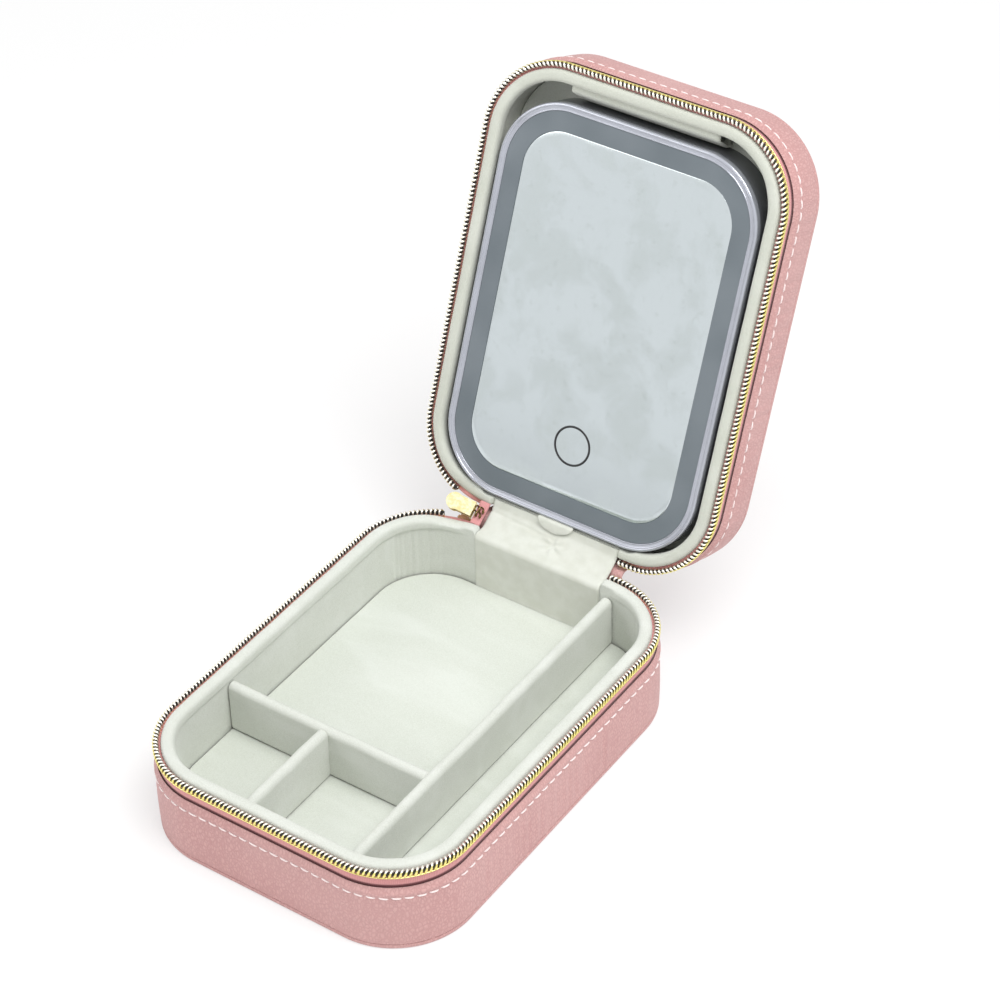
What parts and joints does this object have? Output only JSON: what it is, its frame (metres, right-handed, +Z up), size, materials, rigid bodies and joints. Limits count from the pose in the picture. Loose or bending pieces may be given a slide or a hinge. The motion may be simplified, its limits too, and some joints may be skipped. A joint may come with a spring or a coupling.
{
  "type": "travel vanity box with mirror",
  "caption": "Zip-around travel vanity box with divided velvet compartments and a lit mirror held in the padded lid.",
  "frame": {"origin": "centre of the base's flat bottom face, on the plane it stands on", "axes": "+X along the hinge, to the user's right; +Y from the front to the hinge side; +Z up. The lid is stored open as pictured."},
  "size_m": [0.123, 0.2556, 0.1931],
  "materials": {
    "leather": "pebbled dusty-pink artificial leather, satin",
    "board_wood": "thin fibre board",
    "board_card": "grey board",
    "zip_tape": "woven tape, dusty pink",
    "brass": "polished pale gold",
    "velvet": "short-pile velvet, pale ivory green",
    "foam": "soft foam",
    "case_plastic": "white, satin",
    "bezel": "silver coated",
    "diffuser": "frosted, translucent when lit",
    "mirror": "silvered glass",
    "ink": "printed touch mark",
    "circuit": "glass-fibre circuit board",
    "lamp": "surface-mounted lamp",
    "cell": "foil-wrapped cell",
    "steel": "plated steel"
  },
  "bodies": {
    "base": {"base_bottom_cover": "leather", "base_core": "board_wood", "base_side_cover": "leather", "base_zip_tape": "zip_tape", "base_zip_teeth": "brass", "base_lining_wall": "velvet", "base_foam": "foam", "base_floor_board": "board_wood", "base_floor_pad": "velvet", "divider_boards": "board_wood", "divider_long": "velvet", "divider_cross": "velvet", "divider_short": "velvet", "hinge_strip": "leather", "hinge_flap": "velvet"},
    "lid": {"lid_top_cover": "leather", "lid_core": "board_card", "lid_side_cover": "leather", "lid_zip_tape": "zip_tape", "lid_zip_teeth": "brass", "lid_lining_wall": "velvet", "lid_foam_blocks": "foam", "lid_back_panel": "board_card", "mirror_stop_bar": "velvet", "mirror_pull_tab": "velvet"},
    "mirror": {"mirror_rear_case": "case_plastic", "mirror_bezel": "bezel", "light_ring_cover": "diffuser", "mirror_glass": "mirror", "glass_carrier": "case_plastic", "touch_ring": "ink", "lamp_board": "circuit", "lamps": "lamp", "battery": "cell", "control_board": "circuit", "charging_socket": "steel", "case_screws": "steel"},
    "zip_slider": {"zip_slider": "brass", "zip_closed_run": "brass", "zip_tape_end": "zip_tape"},
    "zip_pull": {"zip_pull": "brass"}
  },
  "joints": [
    {"name": "lid_hinge", "type": "hinge", "parent": "base", "child": "lid", "pos_m": [0, 0.0855, 0.0359], "axis": [1, 0, 0], "range_deg": [0, 111.4], "deforming": ["hinge_strip", "hinge_flap"]},
    {"name": "mirror_lift", "type": "slide", "parent": "lid", "child": "mirror", "axis": [0, 0.9311, -0.3649], "range_m": [-0.005, 0]},
    {"name": "slider_tilt", "type": "hinge", "parent": "base", "child": "zip_slider", "pos_m": [0, 0.0855, 0.0359], "axis": [1, 0, 0], "range_deg": [0, 55.7]},
    {"name": "zip_pull_swing", "type": "hinge", "parent": "base", "child": "zip_pull", "pos_m": [-0.03744, 0.0855, 0.0359], "axis": [1, 0, 0], "range_deg": [0, 60]}
  ],
  "couplings": [
    {"joint": "slider_tilt", "follows": "lid_hinge", "ratio": 0.5}
  ]
}
